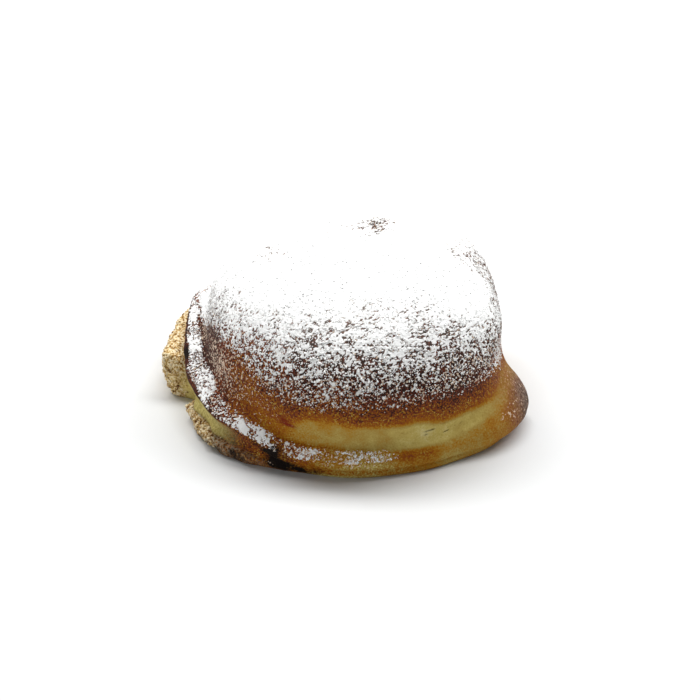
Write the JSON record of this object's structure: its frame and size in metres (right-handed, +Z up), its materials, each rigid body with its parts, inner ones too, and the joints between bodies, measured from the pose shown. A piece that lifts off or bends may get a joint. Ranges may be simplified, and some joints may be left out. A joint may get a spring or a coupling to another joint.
{
  "type": "sfogliatella frolla pastry",
  "caption": "Domed shortcrust pastry with a straight fold on one side, a flared corner, and a seam round the curved side that has opened into a lip over a torn foot. Dusted with icing sugar.",
  "frame": {"origin": "on the surface that the pastry stands on, under the middle of its box", "axes": "+Z up, +X towards the straight folded side, -Y towards the side that the picture shows"},
  "size_m": [0.0934, 0.0838, 0.0435],
  "materials": {
    "crust": "baked shortcrust, dark brown on the shoulder to pale yellow at the waist, satin",
    "icing_sugar": "sifted icing sugar, white, matt and powdery"
  },
  "bodies": {
    "root": {"pastry": "crust"}
  },
  "joints": []
}
